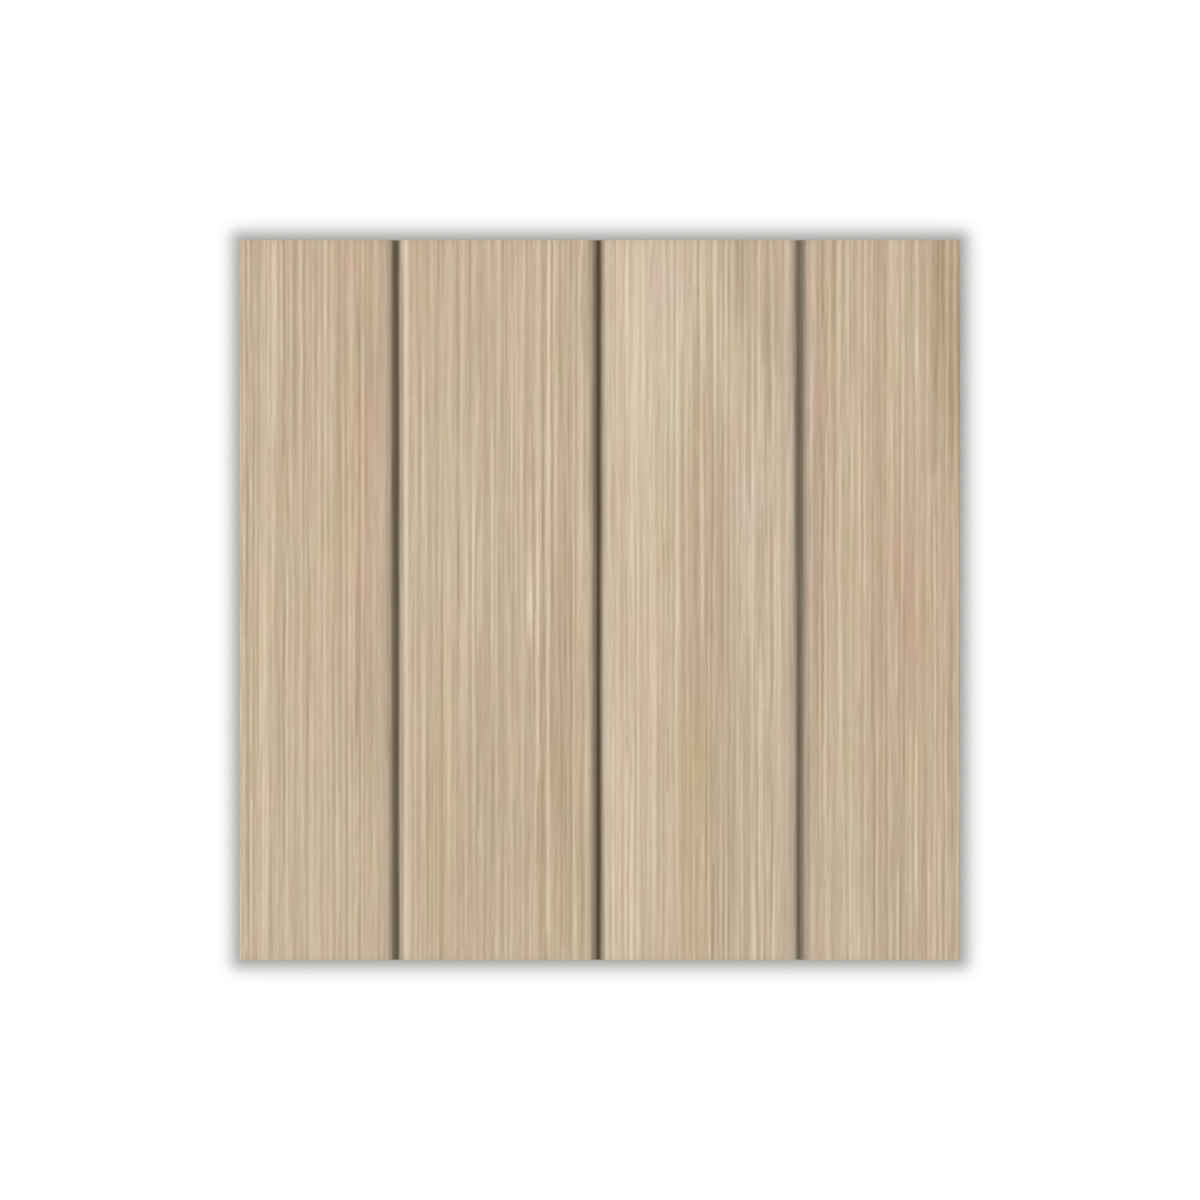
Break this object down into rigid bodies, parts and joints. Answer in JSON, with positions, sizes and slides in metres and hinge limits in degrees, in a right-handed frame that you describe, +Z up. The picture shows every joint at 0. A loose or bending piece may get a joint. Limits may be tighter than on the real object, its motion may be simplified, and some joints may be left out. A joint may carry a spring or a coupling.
{
  "type": "porcelain floor tile",
  "caption": "Square porcelain floor tile whose pressed face imitates brushed timber deck boards parted by dark grooves, with a ribbed back for the bedding adhesive.",
  "frame": {"origin": "on the bedding plane of the back ribs, under the middle of the square", "axes": "+Z up out of the walking face, +Y along the boards and up in the picture, +X across the boards to the picture's right"},
  "size_m": [0.6, 0.6, 0.01],
  "materials": {
    "matt_glazed_porcelain": "matt printed glaze on the face, unglazed body on the edges and back"
  },
  "bodies": {
    "root": {"porcelain_tile": "matt_glazed_porcelain"}
  },
  "joints": []
}
